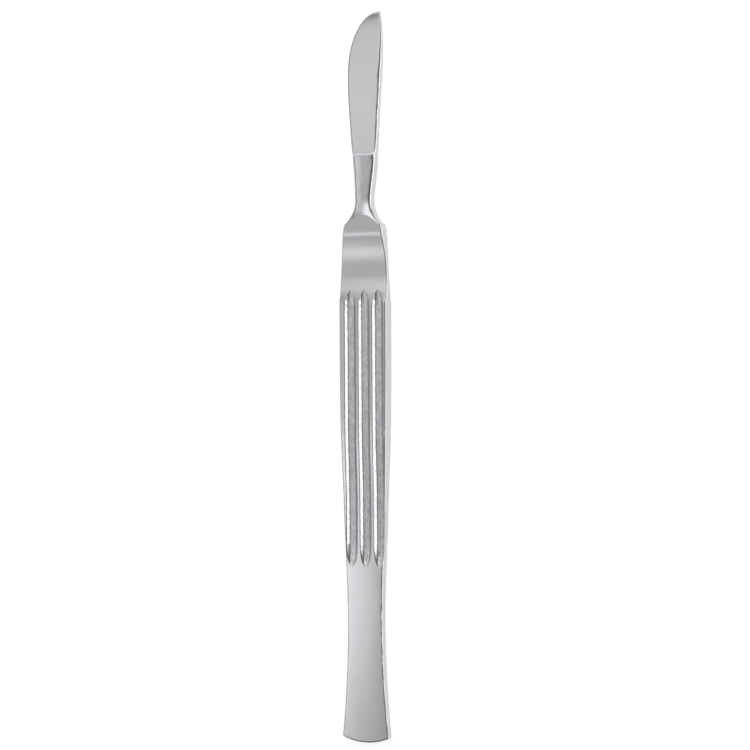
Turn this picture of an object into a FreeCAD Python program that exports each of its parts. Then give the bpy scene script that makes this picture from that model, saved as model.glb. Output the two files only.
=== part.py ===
import FreeCAD, Part
import math
import os

os.makedirs("parts", exist_ok=True)

# Millimetres. X runs across the knife from the cutting edge (-X) to the back (+X).
# Y runs along it with the point at +Y. Z is up from the face that it lies on.
# A station is a distance from the point, measured along the knife.
overall_length = 160.0
blade_length = 31.9
neck_length = 9.9
cove_length = 5.1

# Blade outline. The belly of the cutting edge is a quarter of an ellipse.
blade_width = 8.36
belly_length = 13.5
belly_width = 7.83
edge_reach = 3.86
heel_edge_inset = 1.16
heel_back_inset = 1.42
back_peak_station = 7.5
back_peak_softness = 3.0

# Blade section.
back_thickness = 1.82
back_depth = 1.0
heel_back_depth = 0.55
edge_land = 0.04
hone_width = 0.35
hone_thickness = 0.2
plunge_radius = 1.3

# Neck: a bar with rounded corners and slightly crowned faces.
neck_width = 4.2
neck_thickness = 2.9
neck_corner_radius = 1.0
neck_inset = 0.08
crown_radius = 15.5

# Small round where the cove's sides run out into the shoulder's.
shoulder_round = 0.23
shoulder_round_length = 0.4
cove_inset = 0.02

# Handle outline, as full widths.
shoulder_width = 8.8
grip_width = 11.12
waist_width = 8.3
tail_width = 11.06
tail_bow = 1.2

# Thickness of the shoulder and of the grip, the two lands that the knife lies on.
grip_thickness = 3.5
lower_thickness = 2.3
tail_thickness = 1.9

# Hollow ground by a wheel across each face for the thumb and finger.
thumb_wheel_radius = 27.0
thumb_thickness = 1.4
thumb_crest_radius = 7.0
shoulder_land = 1.95
thumb_end_on_grip = 3.86

# Flutes on each broad face, set a little towards the back.
# The share for the radius is of the pitch, and those for pitch and offset are of the grip's width.
flute_count = 3
flute_pitch_share = 0.2914
flute_radius_share = 0.463
flute_offset_share = 0.027
flute_depth = 0.65
flute_run_out = 5.0

# Edge rounding of the handle.
side_edge_radius = 0.4
tail_corner_radius = 0.6

# Places along the handle, as shares of its length behind the shoulder.
grip_end_share = 0.224
taper_start_share = 0.38
taper_end_share = 0.54
flute_end_share = 0.658
waist_share = 0.763

cove_start = blade_length + neck_length
shoulder = cove_start + cove_length
flare_length = cove_length - shoulder_round_length
handle_length = overall_length - shoulder
thumb_depth = (grip_thickness - thumb_thickness) / 2
half_thumb = math.sqrt(2 * thumb_wheel_radius * thumb_depth - thumb_depth ** 2)
thumb_start = shoulder + shoulder_land
thumb_middle = thumb_start + half_thumb
thumb_end = thumb_middle + half_thumb
grip_start = thumb_end - thumb_end_on_grip
grip_end = shoulder + grip_end_share * handle_length
taper_start = shoulder + taper_start_share * handle_length
taper_end = shoulder + taper_end_share * handle_length
flute_end = shoulder + flute_end_share * handle_length
waist = shoulder + waist_share * handle_length
tail_corner = overall_length - tail_bow

half_grip = grip_thickness / 2
half_neck = neck_width / 2
half_shoulder = shoulder_width / 2
half_cove = half_shoulder - cove_inset
cove_end_corner = side_edge_radius + cove_inset
flute_pitch = flute_pitch_share * grip_width
flute_radius = flute_radius_share * flute_pitch
flute_offset = flute_offset_share * grip_width
heel_edge_reach = edge_reach - heel_edge_inset
back_reach = blade_width - edge_reach
heel_back_reach = back_reach - heel_back_inset
middle = FreeCAD.Vector(0, 0, 0)
upward = FreeCAD.Vector(0, 0, 1)


def at(across, station, height=0.0):
    """Point from its place across, its station and its height above the mid-plane."""
    return FreeCAD.Vector(across, overall_length / 2 - station, height)


def arc(first, between, last):
    return Part.Arc(first, between, last).toShape()


def arc_radius(run, rise):
    """Radius of an arc that starts level and climbs by rise over run."""
    return (run * run + rise * rise) / (2 * rise)


def arc_rise(run, radius):
    return radius - math.sqrt(radius * radius - run * run)


def turned_over(shape):
    """The same form on the other broad face."""
    return shape.mirror(middle, upward)


def back_across(station):
    """Outline of the blade's back: a bow at the point, then a nearly straight fall to the heel."""
    run = station - back_peak_station
    if run < 0:
        return back_reach - (blade_width - belly_width) * (run / back_peak_station) ** 2
    soft = back_peak_softness
    full_run = blade_length - back_peak_station
    fall = (math.hypot(run, soft) - soft) / (math.hypot(full_run, soft) - soft)
    return back_reach - heel_back_inset * fall


def blade_section(edge_place, back_place, thickness, depth):
    """Wedge section from a point of the cutting edge to one of the rounded back."""
    start = at(*edge_place)
    finish = at(*back_place)
    width = (finish - start).Length
    across = (finish - start).normalize()
    hone = min(hone_width, 0.15 * width)
    land = edge_land / 2
    half_hone = land + hone * (hone_thickness / 2 - land) / hone_width
    half_back = thickness / 2

    def p(distance, height):
        return start + across * distance + upward * height

    return Part.Wire([
        Part.makeLine(p(0, -land), p(0, land)),
        Part.makeLine(p(0, land), p(hone, half_hone)),
        Part.makeLine(p(hone, half_hone), p(width - depth, half_back)),
        arc(p(width - depth, half_back), p(width, 0), p(width - depth, -half_back)),
        Part.makeLine(p(width - depth, -half_back), p(hone, -half_hone)),
        Part.makeLine(p(hone, -half_hone), p(0, -land)),
    ])


def belly_section(turn):
    """Section at a share of the belly's quarter turn, fanned round towards the point."""
    angle = turn * math.pi / 2
    edge_place = (
        belly_width * (1 - math.sin(angle)) - edge_reach,
        belly_length * (1 - math.cos(angle)),
    )
    back_station = belly_length * turn * (0.3 + 0.63 * turn)
    thickness = 0.955 * back_thickness * turn ** 0.55
    return blade_section(
        edge_place, (back_across(back_station), back_station), thickness, back_depth * turn ** 0.6
    )


def straight_section(share):
    """Section at a share of the straighter stretch, from the belly to the heel."""
    station = belly_length + share * (blade_length - belly_length)
    back_station = station - 0.07 * belly_length * (1 - share)
    depth = heel_back_depth + (back_depth - heel_back_depth) * (1 - share) ** 2
    return blade_section(
        (heel_edge_inset * share ** 2 - edge_reach, station),
        (back_across(back_station), back_station),
        back_thickness * (0.955 + 0.045 * share),
        depth,
    )


def hidden_heel():
    """Last blade section, inside the neck."""
    share = 0.2
    station = blade_length + share * neck_length
    left, right = neck_sides(share)
    inside = 2 * neck_inset
    return blade_section(
        (inside - left, station), (right - inside, station), back_thickness, heel_back_depth
    )


def blade():
    """Flat ground blade with a round back and a fine honed bevel along its edge."""
    sections = [belly_section(turn) for turn in (0.035, 0.12, 0.27, 0.42, 0.6, 0.8, 1.0)]
    sections += [straight_section(share) for share in (0.35, 0.7, 1.0)]
    sections.append(hidden_heel())
    return Part.makeLoft(sections, True, False)


def neck_sides(share):
    """How far the neck reaches to the left and right, from the blade (0) to the cove (1)."""
    left_start = heel_edge_reach - neck_inset
    right_start = heel_back_reach - neck_inset
    left = half_neck + (left_start - half_neck) * (1 - share) ** 2
    right = half_neck + (right_start - half_neck) * (1 + math.cos(math.pi * share)) / 2
    return left, right


def bar_section(station, left, right, lift, corner):
    """Crowned faces, straight sides and round corners. The lift raises each face."""
    centre = (right - left) / 2
    half = (right + left) / 2
    crown_height = neck_thickness / 2 + lift
    crown_depth = crown_radius - neck_thickness / 2
    radius = crown_depth + crown_height
    corner_z = math.sqrt((radius - corner) ** 2 - (half - corner) ** 2) - crown_depth
    lean = math.atan2(half - corner, corner_z + crown_depth)
    crown_x = radius * math.sin(lean)
    crown_z = radius * math.cos(lean) - crown_depth
    halfway = (math.pi / 2 + lean) / 2
    round_x = half - corner + corner * math.sin(halfway)
    round_z = corner_z + corner * math.cos(halfway)

    def p(x, z):
        return at(centre + x, station, z)

    return Part.Wire([
        arc(p(-crown_x, crown_z), p(0, crown_height), p(crown_x, crown_z)),
        arc(p(crown_x, crown_z), p(round_x, round_z), p(half, corner_z)),
        Part.makeLine(p(half, corner_z), p(half, -corner_z)),
        arc(p(half, -corner_z), p(round_x, -round_z), p(crown_x, -crown_z)),
        arc(p(crown_x, -crown_z), p(0, -crown_height), p(-crown_x, -crown_z)),
        arc(p(-crown_x, -crown_z), p(-round_x, -round_z), p(-half, -corner_z)),
        Part.makeLine(p(-half, -corner_z), p(-half, corner_z)),
        arc(p(-half, corner_z), p(-round_x, round_z), p(-crown_x, crown_z)),
    ])


def front_section():
    """Narrow front of the neck bar, hidden in the blade."""
    left, right = neck_sides(0)
    station = blade_length - plunge_radius
    return bar_section(station, 0.92 * left, 0.84 * right, 0, neck_corner_radius)


def neck_section(share):
    left, right = neck_sides(share)
    return bar_section(blade_length + share * neck_length, left, right, 0, neck_corner_radius)


def cove_lift():
    """Rise of the crown that brings the cove's corners level with the shoulder's edges."""
    corner = cove_end_corner
    corner_height = half_grip - corner + crown_radius - neck_thickness / 2
    return math.hypot(corner_height, half_cove - corner) + corner - crown_radius


def cove_half_width(run):
    """The side flares by an arc, then turns over a small round into the shoulder's side."""
    flare_width = half_cove - shoulder_round - half_neck
    flare = arc_rise(min(run, flare_length), arc_radius(flare_length, flare_width))
    left_over = min(1, (cove_length - run) / shoulder_round_length)
    return half_neck + flare + shoulder_round * (1 - left_over ** 2)


def cove_section(share):
    """The cove widens and lifts as it goes, and its corners sharpen."""
    half = cove_half_width(share * cove_length)
    corner = neck_corner_radius + share * (cove_end_corner - neck_corner_radius)
    station = cove_start + share * cove_length
    return bar_section(station, half, half, cove_lift() * share ** 1.6, corner)


def neck_and_cove():
    """Neck bar that swells into the shoulder, cut level with the shoulder's faces."""
    sections = [front_section()]
    sections += [neck_section(share) for share in (0, 0.14, 0.32, 0.52, 0.76, 1.0)]
    sections += [cove_section(share) for share in (0.35, 0.6, 0.8, 0.92, 0.96, 1.0)]
    bar = Part.makeLoft(sections, True, False)
    corner = at(-grip_width, shoulder + grip_width, -half_grip)
    slab = Part.makeBox(2 * grip_width, overall_length, grip_thickness, corner)
    return bar.common(slab).cut([plunge_cutter(), turned_over(plunge_cutter())])


def plunge_cutter():
    """Round-cornered wheel that grinds the blade face and leaves a hollow step at the neck."""
    height = neck_thickness
    reach = 4 * plunge_radius
    bend = plunge_radius * (1 - math.sqrt(0.5))
    foot = at(0, blade_length - plunge_radius)
    wall = at(0, blade_length, plunge_radius)
    top = at(0, blade_length, height)
    far_top = at(0, blade_length - reach, height)
    far_foot = at(0, blade_length - reach)
    face = Part.Face(Part.Wire([
        arc(foot, at(0, blade_length - bend, bend), wall),
        Part.makeLine(wall, top),
        Part.makeLine(top, far_top),
        Part.makeLine(far_top, far_foot),
        Part.makeLine(far_foot, foot),
    ]))
    face.translate(FreeCAD.Vector(-blade_width, 0, 0))
    cutter = face.extrude(FreeCAD.Vector(2 * blade_width, 0, 0))
    ground_width = heel_edge_reach + heel_back_reach - heel_back_depth - hone_width
    slope = math.atan2((back_thickness - hone_thickness) / 2, ground_width)
    cutter.rotate(middle, FreeCAD.Vector(0, 1, 0), -math.degrees(slope))
    sunk = 0.3 * hone_thickness / 2
    cutter.translate(FreeCAD.Vector(hone_width - heel_edge_reach, 0, hone_thickness / 2 - sunk))
    return cutter


def front_curve_radius():
    return arc_radius(grip_start - shoulder, (grip_width - shoulder_width) / 2)


def waist_curve_radius():
    return arc_radius(tail_corner - waist, (tail_width - waist_width) / 2)


def long_curve_radius():
    """Radius of the long outward curve, level at the grip and tangent to the waist curve."""
    return arc_radius(waist - grip_end, (grip_width - waist_width) / 2) - waist_curve_radius()


def waist_turn():
    """Station where the long curve gives way to the waist curve."""
    share = waist_curve_radius() / (long_curve_radius() + waist_curve_radius())
    return waist - share * (waist - grip_end)


def half_width(station):
    """Half width of the handle outline, from the shoulder to the tail corner."""
    if station < grip_start:
        return grip_width / 2 - arc_rise(grip_start - station, front_curve_radius())
    if station < grip_end:
        return grip_width / 2
    if station < waist_turn():
        return grip_width / 2 - arc_rise(station - grip_end, long_curve_radius())
    return waist_width / 2 + arc_rise(abs(station - waist), waist_curve_radius())


def handle_side(side):
    """Outline of one long side of the handle, from the shoulder to the tail corner."""
    def p(station):
        return at(side * half_width(station), station)

    return [
        arc(p(shoulder), p((shoulder + grip_start) / 2), p(grip_start)),
        Part.makeLine(p(grip_start), p(grip_end)),
        arc(p(grip_end), p((grip_end + waist_turn()) / 2), p(waist_turn())),
        arc(p(waist_turn()), p(waist), p(tail_corner)),
    ]


def handle_outline():
    half_tail = half_width(tail_corner)
    tail = arc(at(-half_tail, tail_corner), at(0, overall_length), at(half_tail, tail_corner))
    front = Part.makeLine(at(-half_shoulder, shoulder), at(half_shoulder, shoulder))
    edges = handle_side(1) + handle_side(-1) + [tail, front]
    face = Part.Face(Part.Wire(Part.__sortEdges__(edges)))
    face.translate(upward * -grip_thickness)
    return face.extrude(upward * 2 * grip_thickness)


def taper_height(station):
    """Height of the face behind the grip: two arcs down to the thin end, then a long bow."""
    drop = (grip_thickness - lower_thickness) / 2
    half_run = (taper_end - taper_start) / 2
    radius = arc_radius(half_run, drop / 2)
    if station < taper_start + half_run:
        return half_grip - arc_rise(station - taper_start, radius)
    if station < taper_end:
        return lower_thickness / 2 + arc_rise(taper_end - station, radius)
    return lower_thickness / 2 - arc_rise(station - taper_end, tail_bow_radius())


def tail_bow_radius():
    return arc_radius(overall_length - taper_end, (lower_thickness - tail_thickness) / 2)


def taper_line(lift, last):
    """Side view of the face behind the grip, raised by a lift, as far as a last station."""
    def stretch(first, end):
        stations = (first, (first + end) / 2, end)
        return arc(*[at(0, station, taper_height(station) + lift) for station in stations])

    change = (taper_start + taper_end) / 2
    return [stretch(taper_start, change), stretch(change, taper_end), stretch(taper_end, last)]


def face_line():
    """Side view of the upper face, from the shoulder to just past the tail."""
    return [
        Part.makeLine(at(0, shoulder, half_grip), at(0, thumb_start, half_grip)),
        arc(
            at(0, thumb_start, half_grip),
            at(0, thumb_middle, thumb_thickness / 2),
            at(0, thumb_end, half_grip),
        ),
        Part.makeLine(at(0, thumb_end, half_grip), at(0, taper_start, half_grip)),
    ] + taper_line(0, overall_length + tail_bow)


def handle_body():
    """Outline seen from above, trimmed to the side view."""
    end = overall_length + tail_bow
    end_height = taper_height(end)
    upper = face_line()
    lower = [turned_over(edge) for edge in upper]
    front = Part.makeLine(at(0, shoulder, half_grip), at(0, shoulder, -half_grip))
    back = Part.makeLine(at(0, end, end_height), at(0, end, -end_height))
    face = Part.Face(Part.Wire(Part.__sortEdges__(upper + lower + [front, back])))
    face.translate(FreeCAD.Vector(-grip_width, 0, 0))
    return handle_outline().common(face.extrude(FreeCAD.Vector(2 * grip_width, 0, 0)))


def run_out_line(start_station, lift):
    """Arc by which the flute cutter rises out of the face, carried on until it is clear."""
    radius = arc_radius(flute_run_out, flute_depth)
    lean = -math.asin((start_station - taper_end) / tail_bow_radius())
    start_height = taper_height(start_station) + lift
    centre_station = start_station - radius * math.sin(lean)
    centre_height = start_height + radius * math.cos(lean)
    clear = 1.5 * math.asin(flute_run_out / radius)

    def p(turn):
        return at(
            0,
            centre_station + radius * math.sin(lean + turn),
            centre_height - radius * math.cos(lean + turn),
        )

    return arc(p(0), p(clear / 2), p(clear))


def flute_cutter():
    """Round cutter swept along the middle of a flute, from the thumb hollow to its run-out."""
    lift = flute_radius - flute_depth
    run_out_start = flute_end - flute_run_out
    start = at(0, thumb_middle, half_grip + lift)
    first = Part.makeLine(start, at(0, taper_start, half_grip + lift))
    path = Part.Wire([first] + taper_line(lift, run_out_start) + [run_out_line(run_out_start, lift)])
    ring = Part.Wire(Part.makeCircle(flute_radius, start, FreeCAD.Vector(0, -1, 0)))
    return path.makePipe(Part.Face(ring))


def cut_flutes(body):
    cutter = flute_cutter()
    cutters = []
    for index in range(flute_count):
        across = flute_offset + (index - (flute_count - 1) / 2) * flute_pitch
        upper = cutter.translated(FreeCAD.Vector(across, 0, 0))
        cutters += [upper, turned_over(upper)]
    return body.cut(cutters)


def is_thumb_crest(box):
    """Transverse edge where the shoulder falls into the thumb hollow."""
    wanted = at(0, thumb_start).y
    return abs(box.YMin - wanted) < 0.01 and box.YLength < 0.01 and box.XLength > 1


def is_tail_corner(box):
    wanted = at(0, tail_corner).y
    return abs(box.YMax - wanted) < 0.01 and box.YLength < 0.01 and box.ZLength > 1


def is_long_edge(box):
    """Edge between a broad face and a long side or the tail."""
    outer = min(abs(box.XMin), abs(box.XMax)) > 0.9 * min(half_shoulder, waist_width / 2)
    return outer and box.YLength > side_edge_radius / 10


def with_rounded_edges(body, radius, chosen):
    return body.makeFillet(radius, [edge for edge in body.Edges if chosen(edge.BoundBox)])


def handle():
    body = handle_body()
    body = with_rounded_edges(body, thumb_crest_radius, is_thumb_crest)
    body = with_rounded_edges(body, tail_corner_radius, is_tail_corner)
    body = with_rounded_edges(body, side_edge_radius, is_long_edge)
    return cut_flutes(body)


scalpel = handle().fuse([neck_and_cove(), blade()]).removeSplitter()
scalpel.translate(upward * half_grip)
scalpel.Solids[0].exportStep("parts/scalpel.step")
print("solids", len(scalpel.Solids), "valid", scalpel.isValid(), "volume", round(scalpel.Volume, 1))
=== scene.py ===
import math

import bmesh
import bpy
from mathutils import Matrix, Vector


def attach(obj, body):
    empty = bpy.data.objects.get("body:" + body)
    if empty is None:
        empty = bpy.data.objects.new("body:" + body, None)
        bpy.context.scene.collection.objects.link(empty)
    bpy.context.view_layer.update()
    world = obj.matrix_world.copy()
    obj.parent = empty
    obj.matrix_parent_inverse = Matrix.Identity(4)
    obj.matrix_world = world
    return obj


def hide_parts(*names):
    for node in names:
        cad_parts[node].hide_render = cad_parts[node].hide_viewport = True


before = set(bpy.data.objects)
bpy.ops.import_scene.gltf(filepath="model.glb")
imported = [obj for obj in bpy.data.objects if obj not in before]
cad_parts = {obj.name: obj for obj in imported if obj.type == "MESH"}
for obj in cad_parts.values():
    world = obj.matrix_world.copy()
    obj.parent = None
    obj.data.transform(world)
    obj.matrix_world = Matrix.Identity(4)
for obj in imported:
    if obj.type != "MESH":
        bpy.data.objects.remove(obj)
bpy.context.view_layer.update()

mm = 0.001

# Places on the knife, in millimetres. Stations are measured from the point, heights from the
# mid-plane between the two broad faces.
knifePlaces = {
    "halfLength": 80.0,
    "midHeight": 1.75,
    "bladeEnd": 31.9,
    "neckEnd": 41.8,
    "shoulder": 46.9,
    "thumbMiddle": 56.3,
    "thumbEnd": 63.76,
    "thumbRadius": 27.0,
    "thumbHalf": 0.7,
    "taperStart": 90.0,
    "taperEnd": 108.0,
    "tailEnd": 160.0,
    "roundStart": 3.9,
    "honeHalfThickness": 0.1,
    "gripHalf": 1.75,
    "lowerHalf": 1.15,
    "tailHalf": 0.95,
}


def newMaterial(name):
    material = bpy.data.materials.new(name)
    material.use_nodes = True
    tree = material.node_tree
    tree.nodes.clear()
    return material, tree


def addNode(tree, kind, **settings):
    node = tree.nodes.new(kind)
    for key, value in settings.items():
        setattr(node, key, value)
    return node


def join(tree, source, target):
    tree.links.new(source, target)


def mathNode(tree, operation, first, second=None, third=None, clamp=False):
    node = addNode(tree, "ShaderNodeMath", operation=operation, use_clamp=clamp)
    for socket, value in zip(node.inputs, (first, second, third)):
        if value is None:
            continue
        if isinstance(value, (int, float)):
            socket.default_value = value
        else:
            join(tree, value, socket)
    return node.outputs[0]


# 0 below low, 1 above high, with a soft change between.
def smoothStep(tree, value, low, high):
    node = addNode(tree, "ShaderNodeMapRange", interpolation_type="SMOOTHSTEP")
    join(tree, value, node.inputs["Value"])
    node.inputs["From Min"].default_value = low
    node.inputs["From Max"].default_value = high
    return node.outputs["Result"]


# Goes from the first value or socket to the second as the share goes from 0 to 1.
def mixNode(tree, first, second, share):
    node = addNode(tree, "ShaderNodeMix", data_type="FLOAT")
    for name, value in (("A", first), ("B", second)):
        if isinstance(value, (int, float)):
            node.inputs[name].default_value = value
        else:
            join(tree, value, node.inputs[name])
    join(tree, share, node.inputs["Factor"])
    return node.outputs["Result"]


# The scale is in features per millimetre along each axis.
def scaledNoise(tree, coordinates, scale, detail, roughness=0.5):
    stretch = addNode(tree, "ShaderNodeVectorMath", operation="MULTIPLY")
    join(tree, coordinates, stretch.inputs[0])
    stretch.inputs[1].default_value = scale
    noise = addNode(tree, "ShaderNodeTexNoise")
    noise.inputs["Scale"].default_value = 1.0
    noise.inputs["Detail"].default_value = detail
    noise.inputs["Roughness"].default_value = roughness
    join(tree, stretch.outputs[0], noise.inputs["Vector"])
    return noise.outputs["Fac"]


# Adds relief to a surface, from a height that is multiplied by the depth in millimetres.
def reliefNode(tree, height, depth, strength=1.0, before=None):
    relief = addNode(tree, "ShaderNodeBump")
    relief.inputs["Strength"].default_value = strength
    relief.inputs["Distance"].default_value = depth * mm
    join(tree, height, relief.inputs["Height"])
    if before is not None:
        join(tree, before, relief.inputs["Normal"])
    return relief.outputs["Normal"]


# Look of the steel. A roughness is the mean of its region. The last five are where a region
# fades in: the blade's end, the flutes' start and depth, their floors and the narrow sides.
steelLook = {
    "colour": (0.675, 0.682, 0.70),
    "faceRoughness": 0.22,
    "bladeRoughness": 0.24,
    "floorRoughness": 0.42,
    "sideRoughness": 0.18,
    "brushRoughness": 0.08,
    "cloudRoughness": 0.05,
    "brushScale": (14.0, 0.35, 14.0),
    "grainScale": (1.9, 0.9, 1.9),
    "cloudScale": (0.22, 0.09, 0.22),
    "brushDepth": 0.02,
    "brushStrength": 0.10,
    "faceMottle": 0.04,
    "fluteMottle": 1.4,
    "pitting": 0.024,
    "crownRadius": 70.0,
    "bladeFade": 0.2,
    "fluteStations": (59.0, 60.0),
    "fluteSunk": (0.03, 0.12),
    "floorSunk": (0.56, 0.65),
    "sideLean": (0.75, 0.95),
}


# The heights that levelHeight and faceHeight give, worked out in the material.
def faceHeightNodes(tree, station):
    places = knifePlaces
    fall = smoothStep(tree, station, places["taperStart"], places["taperEnd"])
    height = mathNode(
        tree, "MULTIPLY_ADD", fall, places["lowerHalf"] - places["gripHalf"], places["gripHalf"])
    behind = mathNode(tree, "SUBTRACT", station, places["taperEnd"])
    behind = mathNode(tree, "MAXIMUM", behind, 0.0)
    share = mathNode(tree, "DIVIDE", behind, places["tailEnd"] - places["taperEnd"])
    bow = mathNode(tree, "MULTIPLY", share, share)
    level = mathNode(
        tree, "MULTIPLY_ADD", bow, places["tailHalf"] - places["lowerHalf"], height)
    radius = places["thumbRadius"]
    run = mathNode(tree, "SUBTRACT", station, places["thumbMiddle"])
    below = mathNode(tree, "SUBTRACT", radius ** 2, mathNode(tree, "MULTIPLY", run, run))
    below = mathNode(tree, "SQRT", mathNode(tree, "MAXIMUM", below, 0.0))
    hollow = mathNode(tree, "SUBTRACT", places["thumbHalf"] + radius, below)
    return level, mathNode(tree, "MINIMUM", level, hollow)


# Masks of the flutes and of their floors, by how far the surface is sunk below the face.
# The round of the long sides is sunk too, so it is left out.
def fluteMasks(tree, station, place, normal):
    look = steelLook
    fromMiddle = mathNode(tree, "SUBTRACT", place.outputs["Z"], knifePlaces["midHeight"])
    fromMiddle = mathNode(tree, "ABSOLUTE", fromMiddle)
    level, withHollow = faceHeightNodes(tree, station)
    sunk = mathNode(tree, "SUBTRACT", withHollow, fromMiddle)
    sunkFloor = mathNode(tree, "SUBTRACT", level, fromMiddle)
    fromCentre = mathNode(tree, "ABSOLUTE", place.outputs["X"])
    farOut = mathNode(tree, "GREATER_THAN", fromCentre, knifePlaces["roundStart"])
    outwardLean = mathNode(tree, "MULTIPLY", normal.outputs["X"], place.outputs["X"])
    outward = mathNode(tree, "GREATER_THAN", outwardLean, 0.0)
    inside = mathNode(tree, "SUBTRACT", 1.0, mathNode(tree, "MULTIPLY", farOut, outward))
    started = smoothStep(tree, station, *look["fluteStations"])
    unended = mathNode(tree, "LESS_THAN", station, fluteLook["end"] + 1.0)
    along = mathNode(tree, "MULTIPLY", mathNode(tree, "MULTIPLY", started, unended), inside)
    onFlutes = mathNode(tree, "MULTIPLY", along, smoothStep(tree, sunk, *look["fluteSunk"]))
    deep = smoothStep(tree, sunkFloor, *look["floorSunk"])
    return onFlutes, mathNode(tree, "MULTIPLY", onFlutes, deep)


# Satin ground steel: brushed along its length, matt and uneven in the flutes, brighter at
# the sides.
def steelMaterial():
    look = steelLook
    places = knifePlaces
    material, tree = newMaterial("brushedSteel")
    coordinates = addNode(tree, "ShaderNodeTexCoord")
    inMm = addNode(tree, "ShaderNodeVectorMath", operation="SCALE")
    join(tree, coordinates.outputs["Object"], inMm.inputs[0])
    inMm.inputs["Scale"].default_value = 1 / mm
    place = addNode(tree, "ShaderNodeSeparateXYZ")
    join(tree, inMm.outputs[0], place.inputs[0])
    station = mathNode(tree, "SUBTRACT", places["halfLength"], place.outputs["Y"])
    normal = addNode(tree, "ShaderNodeSeparateXYZ")
    join(tree, coordinates.outputs["Normal"], normal.inputs[0])

    bladeEnd = places["bladeEnd"]
    fade = look["bladeFade"]
    onHandle = smoothStep(tree, station, bladeEnd - fade, bladeEnd + fade)
    onFlutes, onFloors = fluteMasks(tree, station, place, normal)
    sideways = mathNode(tree, "ABSOLUTE", normal.outputs["X"])
    onSide = mathNode(tree, "MULTIPLY", smoothStep(tree, sideways, *look["sideLean"]), onHandle)

    # Fine lines along the knife, the skin of the flutes and a wide cloud.
    brush = scaledNoise(tree, inMm.outputs[0], look["brushScale"], 3.0, 0.65)
    grain = scaledNoise(tree, inMm.outputs[0], look["grainScale"], 4.0, 0.78)
    cloud = scaledNoise(tree, inMm.outputs[0], look["cloudScale"], 2.0)

    roughness = mixNode(tree, look["bladeRoughness"], look["faceRoughness"], onHandle)
    roughness = mixNode(tree, roughness, look["floorRoughness"], onFloors)
    roughness = mixNode(tree, roughness, look["sideRoughness"], onSide)
    roughness = mathNode(tree, "MULTIPLY_ADD", brush, look["brushRoughness"], roughness)
    roughness = mathNode(tree, "MULTIPLY_ADD", cloud, look["cloudRoughness"], roughness)
    added = (look["brushRoughness"] + look["cloudRoughness"]) / 2
    roughness = mathNode(tree, "SUBTRACT", roughness, added, clamp=True)

    # Colour: a faint mottle, stronger in the flutes.
    mottle = mathNode(tree, "MULTIPLY_ADD", onFlutes, look["fluteMottle"], look["faceMottle"])
    tone = mathNode(tree, "MULTIPLY", mathNode(tree, "SUBTRACT", grain, 0.5), mottle)
    colour = addNode(tree, "ShaderNodeVectorMath", operation="SCALE")
    colour.inputs[0].default_value = look["colour"]
    join(tree, mathNode(tree, "ADD", tone, 1.0), colour.inputs["Scale"])

    # The tail's faces are polished very slightly round from side to side.
    bow = mathNode(tree, "MULTIPLY", place.outputs["X"], place.outputs["X"])
    bow = mathNode(tree, "MULTIPLY", bow, -0.5 / look["crownRadius"])
    behindGrip = smoothStep(tree, station, places["taperStart"], places["taperEnd"])
    crowned = reliefNode(tree, mathNode(tree, "MULTIPLY", bow, behindGrip), 1.0)
    brushed = reliefNode(tree, brush, look["brushDepth"], look["brushStrength"], crowned)
    # The flutes keep the uneven skin of the forging.
    skin = mathNode(tree, "MULTIPLY", grain, onFlutes)
    pitted = reliefNode(tree, skin, look["pitting"], before=brushed)

    shader = addNode(tree, "ShaderNodeBsdfPrincipled")
    shader.inputs["Metallic"].default_value = 1.0
    join(tree, colour.outputs[0], shader.inputs["Base Color"])
    join(tree, roughness, shader.inputs["Roughness"])
    join(tree, pitted, shader.inputs["Normal"])
    output = addNode(tree, "ShaderNodeOutputMaterial")
    join(tree, shader.outputs[0], output.inputs["Surface"])
    return material


# Height of the broad face above the mid-plane, as it was before the thumb hollow was ground.
def levelHeight(station):
    places = knifePlaces
    middle = (places["taperStart"] + places["taperEnd"]) / 2
    halfRun = middle - places["taperStart"]
    halfDrop = (places["gripHalf"] - places["lowerHalf"]) / 2
    if station < places["taperStart"]:
        return places["gripHalf"]
    if station < middle:
        return places["gripHalf"] - halfDrop * ((station - places["taperStart"]) / halfRun) ** 2
    if station < places["taperEnd"]:
        return places["lowerHalf"] + halfDrop * ((places["taperEnd"] - station) / halfRun) ** 2
    share = (station - places["taperEnd"]) / (places["tailEnd"] - places["taperEnd"])
    return places["lowerHalf"] - (places["lowerHalf"] - places["tailHalf"]) * share ** 2


def faceHeight(station):
    places = knifePlaces
    run = station - places["thumbMiddle"]
    if abs(run) > places["thumbEnd"] - places["thumbMiddle"]:
        return levelHeight(station)
    radius = places["thumbRadius"]
    return places["thumbHalf"] + radius - math.sqrt(radius ** 2 - run ** 2)


# The flutes: eased edges, steep walls and a nearly flat floor. They deepen behind the thumb
# hollow and run out in an arc at the other end. The profile gives places across, as shares of
# the half width, and depths, as shares of the full one. The spread and the overcut take the
# cutter past the round flutes that are there already, and clear and rise take its top out of
# the face.
fluteLook = {
    "offset": 0.3,
    "pitch": 3.24,
    "depth": 0.65,
    "leastDepth": 0.004,
    "roundRadius": 1.5,
    "start": 56.5,
    "shallowEnd": 60.0,
    "fullStart": 66.0,
    "startShare": 0.75,
    "runOutStart": 116.32,
    "end": 121.32,
    "profile": (
        (0.35, 1.0), (0.44, 0.98), (0.52, 0.925), (0.59, 0.85), (0.82, 0.26), (1.0, 0.0),
    ),
    "spread": 1.103,
    "overcut": 0.015,
    "clear": 0.03,
    "rise": 0.3,
}


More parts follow.
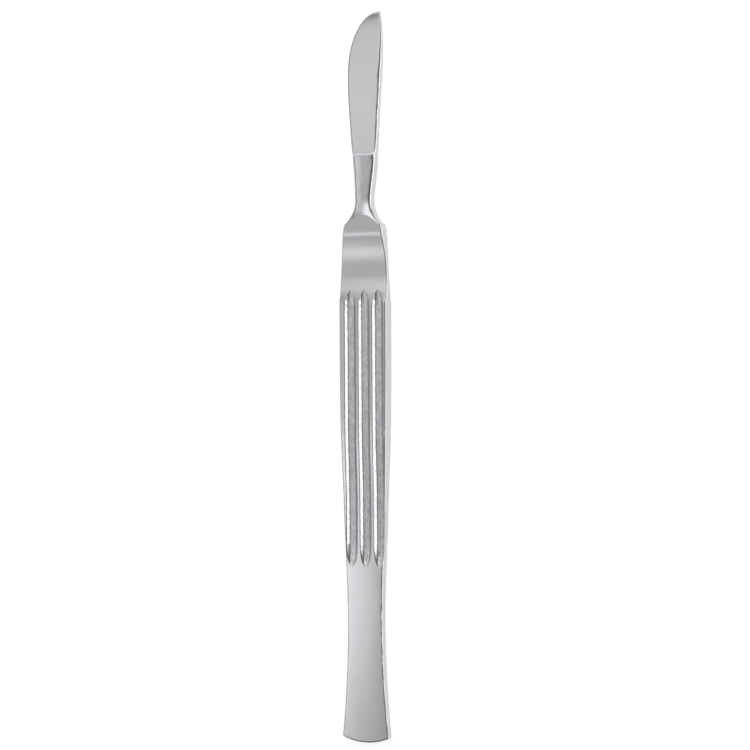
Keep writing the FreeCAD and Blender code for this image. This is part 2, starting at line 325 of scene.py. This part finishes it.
def fluteDepth(station):
    look = fluteLook
    run = max(0.0, station - look["runOutStart"])
    runOut = look["end"] - look["runOutStart"]
    radius = (runOut ** 2 + look["depth"] ** 2) / (2 * look["depth"])
    depth = look["depth"] - radius + math.sqrt(radius ** 2 - run ** 2)
    fade = (station - look["shallowEnd"]) / (look["fullStart"] - look["shallowEnd"])
    fade = min(1.0, max(0.0, fade))
    fade = fade * fade * (3 - 2 * fade)
    return depth * (look["startShare"] + (1 - look["startShare"]) * fade)


# Half of the cutter's section at a station: places across and heights above the mid-plane.
def fluteSection(station):
    look = fluteLook
    depth = max(fluteDepth(station), look["leastDepth"]) + look["overcut"]
    radius = look["roundRadius"]
    roundHalf = math.sqrt(radius ** 2 - (radius - depth) ** 2)
    halfWidth = roundHalf * look["spread"] + look["overcut"]
    top = levelHeight(station)
    half = [(share * halfWidth, top - deep * depth) for share, deep in look["profile"]]
    (innerX, innerZ), (outerX, outerZ) = half[-2:]
    outerX += look["clear"] * (outerX - innerX) / (outerZ - innerZ)
    half[-1] = (outerX, outerZ + look["clear"])
    half.append((outerX, outerZ + look["rise"]))
    return half


# The cutter's stations, closer together where it bends.
def fluteStations():
    places = knifePlaces
    look = fluteLook
    stretches = [
        (look["shallowEnd"], 1),
        (look["fullStart"], 8),
        (places["taperStart"], 4),
        (places["taperEnd"], 12),
        (look["runOutStart"], 3),
        (look["end"], 12),
    ]
    stations = [look["start"]]
    for last, steps in stretches:
        first = stations[-1]
        stations += [first + (last - first) * (step + 1) / steps for step in range(steps)]
    return stations


def addFluteCutter(work, centre, side):
    rings = []
    for station in fluteStations():
        half = fluteSection(station)
        ring = [
            work.verts.new((
                (centre + x) * mm,
                (knifePlaces["halfLength"] - station) * mm,
                (knifePlaces["midHeight"] + side * z) * mm,
            ))
            for x, z in [(-x, z) for x, z in reversed(half)] + half
        ]
        rings.append([work.edges.new(pair) for pair in zip(ring, ring[1:] + ring[:1])])
    for first, second in zip(rings, rings[1:]):
        bmesh.ops.bridge_loops(work, edges=first + second)
    for end in (rings[0], rings[-1]):
        bmesh.ops.contextual_create(work, geom=end)


# Cuts the flutes into both broad faces, in one go, and gives back the new mesh.
def withCutFlutes(mesh):
    work = bmesh.new()
    for side in (1, -1):
        for index in (-1, 0, 1):
            addFluteCutter(work, fluteLook["offset"] + index * fluteLook["pitch"], side)
    bmesh.ops.recalc_face_normals(work, faces=work.faces)
    cutterMesh = bpy.data.meshes.new("fluteCutters")
    work.to_mesh(cutterMesh)
    work.free()
    cutter = bpy.data.objects.new("fluteCutters", cutterMesh)
    blank = bpy.data.objects.new("blank", mesh)
    for helper in (cutter, blank):
        bpy.context.scene.collection.objects.link(helper)
    cut = blank.modifiers.new("flutes", "BOOLEAN")
    cut.operation = "DIFFERENCE"
    cut.solver = "EXACT"
    cut.object = cutter
    bpy.context.view_layer.update()
    settled = blank.evaluated_get(bpy.context.evaluated_depsgraph_get())
    result = bpy.data.meshes.new_from_object(settled)
    for helper in (cutter, blank):
        bpy.data.objects.remove(helper)
    return result


# How the knife's mesh is finished: the gap that its seams are merged over, the cuts across it
# that keep the shading of long faces even, and the creases. Angles are in degrees, and a reach
# is how far from its line a crease may lie.
finishLook = {
    "seamGap": 0.0005,
    "firstCut": 0.8,
    "cutStep": 1.5,
    "sharpAngle": 24.0,
    "leastAngle": 2.5,
    "honeReach": 0.004,
    "archReach": 0.002,
    "shoulderReach": 0.01,
    "gripEndReach": 0.03,
    "fluteSunk": 0.005,
    "weight": 50,
}


# Edge of a flute: on one side the surface is level with the broad face, on the other it is sunk.
def isFluteEdge(edge):
    places = knifePlaces
    sunk = []
    for face in edge.link_faces:
        centre = face.calc_center_median() / mm
        depth = faceHeight(places["halfLength"] - centre.y) - abs(centre.z - places["midHeight"])
        onRound = abs(centre.x) > places["roundStart"] and face.normal.x * centre.x > 0
        sunk.append(depth > finishLook["fluteSunk"] and not onRound)
    return sunk[0] != sunk[1]


# Besides the sharp edges these are creases too shallow for the angle test: the hone line,
# the shoulder's arch, the grip's end and the flutes' edges.
def isCrisp(edge):
    look = finishLook
    places = knifePlaces
    if len(edge.link_faces) != 2:
        return True
    angle = edge.calc_face_angle(0.0)
    if angle > math.radians(look["sharpAngle"]):
        return True
    if angle < math.radians(look["leastAngle"]):
        return False
    points = [vertex.co / mm for vertex in edge.verts]
    stations = [places["halfLength"] - point.y for point in points]
    heights = [abs(point.z - places["midHeight"]) for point in points]
    honeGaps = [abs(height - places["honeHalfThickness"]) for height in heights]
    if max(stations) < places["bladeEnd"] and max(honeGaps) < look["honeReach"]:
        return True
    shoulder = places["shoulder"] + look["shoulderReach"]
    inCove = places["neckEnd"] < min(stations) and max(stations) < shoulder
    if inCove and min(heights) > places["gripHalf"] - look["archReach"]:
        return True
    if all(abs(station - places["thumbEnd"]) < look["gripEndReach"] for station in stations):
        return True
    return min(stations) > places["thumbMiddle"] and isFluteEdge(edge)


def cutAcross(work):
    first = knifePlaces["thumbEnd"] + finishLook["firstCut"]
    step = finishLook["cutStep"]
    for index in range(int((knifePlaces["tailEnd"] - first) / step)):
        place = (0, (knifePlaces["halfLength"] - first - step * index) * mm, 0)
        everything = work.verts[:] + work.edges[:] + work.faces[:]
        bmesh.ops.bisect_plane(
            work, geom=everything, dist=finishLook["seamGap"] * mm,
            plane_co=place, plane_no=(0, 1, 0))


# The forged knife: the CAD form with its seams merged, its flutes cut to their true section
# and its creases kept crisp.
def knifePiece(node):
    gap = finishLook["seamGap"] * mm
    blankMesh = node.data.copy()
    work = bmesh.new()
    work.from_mesh(blankMesh)
    bmesh.ops.remove_doubles(work, verts=work.verts, dist=gap)
    bmesh.ops.recalc_face_normals(work, faces=work.faces)
    work.to_mesh(blankMesh)
    work.free()

    mesh = withCutFlutes(blankMesh)
    mesh.name = "scalpelSteel"
    work = bmesh.new()
    work.from_mesh(mesh)
    bmesh.ops.remove_doubles(work, verts=work.verts, dist=gap)
    bmesh.ops.dissolve_degenerate(work, edges=work.edges, dist=gap)
    cutAcross(work)
    print("flutes cut, open edges:", sum(len(edge.link_faces) != 2 for edge in work.edges))
    for face in work.faces:
        face.smooth = True
    for edge in work.edges:
        edge.smooth = not isCrisp(edge)
    work.to_mesh(mesh)
    work.free()

    mesh.materials.clear()
    mesh.materials.append(steelMaterial())
    piece = bpy.data.objects.new("scalpelSteel", mesh)
    bpy.context.scene.collection.objects.link(piece)
    weighted = piece.modifiers.new("evenShading", "WEIGHTED_NORMAL")
    weighted.keep_sharp = True
    weighted.mode = "FACE_AREA_WITH_ANGLE"
    weighted.weight = finishLook["weight"]
    return piece


# Soft studio light over white paper. Each lamp: turn to the right of straight up and lean
# towards the point, in degrees, then distance, width and length in metres, and radiance.
studioLook = {
    "worldLevel": 0.2,
    "lamps": {
        "farLeft": (-68.0, 0.0, 0.9, 0.66, 1.3, 0.24),
        "left": (-37.0, 2.0, 0.9, 0.28, 0.70, 0.73),
        "top": (-18.0, 1.0, 0.9, 0.32, 0.80, 0.33),
        "tailEnd": (-28.0, -8.4, 0.9, 0.34, 0.14, 0.64),
        "pointLow": (-8.0, 31.0, 0.9, 0.40, 0.56, 1.1),
        "pointHigh": (-20.0, 62.0, 0.9, 1.0, 0.80, 1.0),
        "right": (70.0, 0.0, 0.9, 0.48, 1.4, 1.5),
    },
    "floorSize": 3.0,
    "floorColour": (0.92, 0.92, 0.92),
    "fibreScale": 900.0,
    "fibreTone": 0.02,
    "floorGlowSeen": 0.62,
    "floorGlowInMetal": 0.48,
}


# Plain white paper. It shows as white to the eye and in the metal, and keeps the shadow.
def floorMaterial():
    look = studioLook
    material, tree = newMaterial("whitePaper")
    coordinates = addNode(tree, "ShaderNodeTexCoord")
    fibre = addNode(tree, "ShaderNodeTexNoise")
    fibre.inputs["Scale"].default_value = look["fibreScale"]
    join(tree, coordinates.outputs["Object"], fibre.inputs["Vector"])
    tone = mathNode(
        tree, "MULTIPLY_ADD", fibre.outputs["Fac"], look["fibreTone"], 1 - look["fibreTone"])
    tint = addNode(tree, "ShaderNodeVectorMath", operation="SCALE")
    tint.inputs[0].default_value = look["floorColour"]
    join(tree, tone, tint.inputs["Scale"])
    paper = addNode(tree, "ShaderNodeBsdfDiffuse")
    join(tree, tint.outputs[0], paper.inputs["Color"])

    path = addNode(tree, "ShaderNodeLightPath")
    inMetal = mathNode(
        tree, "MAXIMUM", path.outputs["Is Glossy Ray"], path.outputs["Is Transmission Ray"])
    inMetal = mathNode(tree, "MULTIPLY", inMetal, look["floorGlowInMetal"])
    seen = mathNode(tree, "MULTIPLY", path.outputs["Is Camera Ray"], look["floorGlowSeen"])
    glow = addNode(tree, "ShaderNodeEmission")
    join(tree, mathNode(tree, "MAXIMUM", seen, inMetal), glow.inputs["Strength"])
    both = addNode(tree, "ShaderNodeAddShader")
    join(tree, paper.outputs[0], both.inputs[0])
    join(tree, glow.outputs[0], both.inputs[1])
    output = addNode(tree, "ShaderNodeOutputMaterial")
    join(tree, both.outputs[0], output.inputs["Surface"])
    return material


def studioFloor():
    mesh = bpy.data.meshes.new("studioFloor")
    work = bmesh.new()
    bmesh.ops.create_grid(work, x_segments=1, y_segments=1, size=studioLook["floorSize"])
    work.to_mesh(mesh)
    work.free()
    mesh.materials.append(floorMaterial())
    floor = bpy.data.objects.new("studioFloor", mesh)
    bpy.context.scene.collection.objects.link(floor)


def studioWorld():
    world = bpy.data.worlds.new("studioWorld")
    bpy.context.scene.world = world
    world.use_nodes = True
    tree = world.node_tree
    tree.nodes.clear()
    path = addNode(tree, "ShaderNodeLightPath")
    sky = addNode(tree, "ShaderNodeBackground")
    strength = mixNode(tree, studioLook["worldLevel"], 1.0, path.outputs["Is Camera Ray"])
    join(tree, strength, sky.inputs["Strength"])
    output = addNode(tree, "ShaderNodeOutputWorld")
    join(tree, sky.outputs[0], output.inputs["Surface"])


# World matrix from the directions of a thing's own axes and its place.
def standing(side, along, facing, place):
    rows = [(side[i], along[i], facing[i], place[i]) for i in range(3)]
    return Matrix(rows + [(0, 0, 0, 1)])


# Soft box aimed at the knife, placed by its direction from it.
def studioLamp(name, turn, lean, distance, width, length, radiance):
    lamp = bpy.data.lights.new(name, "AREA")
    lamp.shape = "RECTANGLE"
    lamp.size = width
    lamp.size_y = length
    lamp.energy = radiance * math.pi * width * length
    turned = math.radians(turn)
    leaned = math.radians(lean)
    direction = Vector((
        math.sin(turned) * math.cos(leaned),
        math.sin(leaned),
        math.cos(turned) * math.cos(leaned),
    ))
    side = Vector((0, 1, 0)).cross(direction).normalized()
    holder = bpy.data.objects.new(name, lamp)
    holder.matrix_world = standing(side, direction.cross(side), direction, direction * distance)
    bpy.context.scene.collection.objects.link(holder)


# The photo's view: the camera is turned from straight above towards the knife's back, and
# rolled a little. Angles are in degrees, lens and sensor in millimetres, the rest in metres.
viewLook = {
    "turn": 22.0,
    "roll": 0.275,
    "lens": 100.0,
    "sensor": 36.0,
    "imageHeight": 0.16416,
    "aim": (0.00192, 0.0004, 0.000975),
    "clipStart": 0.01,
}


def photoCamera():
    look = viewLook
    turn = math.radians(look["turn"])
    roll = math.radians(look["roll"])
    away = Vector((math.sin(turn), 0, math.cos(turn)))
    plainRight = Vector((math.cos(turn), 0, -math.sin(turn)))
    plainUp = Vector((0, 1, 0))
    right = plainRight * math.cos(roll) - plainUp * math.sin(roll)
    up = plainUp * math.cos(roll) + plainRight * math.sin(roll)
    distance = look["imageHeight"] * look["lens"] / look["sensor"]
    data = bpy.data.cameras.new("photoCamera")
    data.lens = look["lens"]
    data.sensor_width = look["sensor"]
    data.clip_start = look["clipStart"]
    camera = bpy.data.objects.new("photoCamera", data)
    camera.matrix_world = standing(right, up, away, Vector(look["aim"]) + away * distance)
    bpy.context.scene.collection.objects.link(camera)
    bpy.context.scene.camera = camera


knife = knifePiece(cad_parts["scalpel"])
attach(knife, "root")
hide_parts("scalpel")
print("knife:", len(knife.data.polygons), "faces")

studioFloor()
studioWorld()
for name, values in studioLook["lamps"].items():
    studioLamp(name, *values)
print("studio: floor, world and", len(studioLook["lamps"]), "lamps")

photoCamera()
bpy.context.scene.view_settings.view_transform = "Standard"
print("camera: as in the photo")
